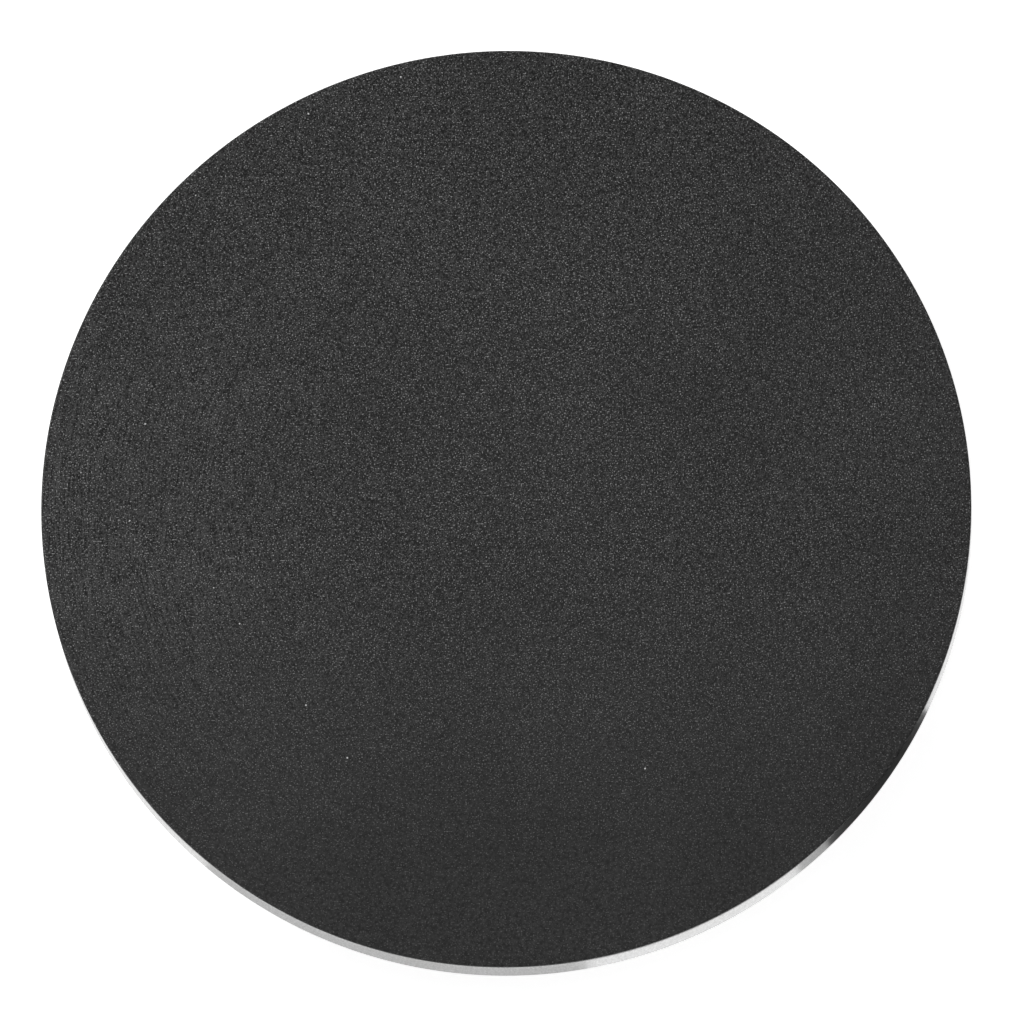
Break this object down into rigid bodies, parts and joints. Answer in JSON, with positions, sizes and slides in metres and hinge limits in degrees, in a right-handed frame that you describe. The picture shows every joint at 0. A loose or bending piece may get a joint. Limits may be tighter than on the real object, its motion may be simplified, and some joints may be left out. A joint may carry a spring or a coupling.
{
  "type": "polishing pad",
  "caption": "Flat round polishing pad: thin black working face on foam, held by hook and loop in the pocket of a rigid aluminium backing plate with a threaded steel hub.",
  "frame": {"origin": "on the disc's axis, at the hub's end face, which is the lowest face", "axes": "+Z along the disc's axis from the hub to the black working face; +X through hub screw 1"},
  "size_m": [0.15, 0.15, 0.0246],
  "materials": {
    "face_polymer": "satin",
    "glue_film": "gloss",
    "pad_foam": "matte",
    "loop_fabric": "matte",
    "hook_sheet": "matte",
    "satin_aluminium": "satin",
    "cap_plastic": "matte",
    "gasket_rubber": "matte",
    "hub_steel": "satin",
    "screw_steel": "satin",
    "washer_steel": "satin"
  },
  "bodies": {
    "backing": {"backing_plate": "satin_aluminium", "hook_sheet": "hook_sheet", "hook_glue_film": "glue_film", "dust_cap": "cap_plastic", "hub_gasket": "gasket_rubber", "spindle_hub": "hub_steel", "hub_screw_1": "screw_steel", "hub_screw_2": "screw_steel", "hub_screw_3": "screw_steel", "hub_screw_4": "screw_steel", "hub_screw_5": "screw_steel", "hub_screw_6": "screw_steel", "lock_washer_1": "washer_steel", "lock_washer_2": "washer_steel", "lock_washer_3": "washer_steel", "lock_washer_4": "washer_steel", "lock_washer_5": "washer_steel", "lock_washer_6": "washer_steel"},
    "pad": {"polishing_face": "face_polymer", "face_glue_film": "glue_film", "foam_cushion": "pad_foam", "loop_glue_film": "glue_film", "loop_fabric": "loop_fabric"}
  },
  "joints": [
    {"name": "pad_lift", "type": "slide", "parent": "backing", "child": "pad", "axis": [0, 0, 1], "range_m": [0, 0.03]}
  ]
}
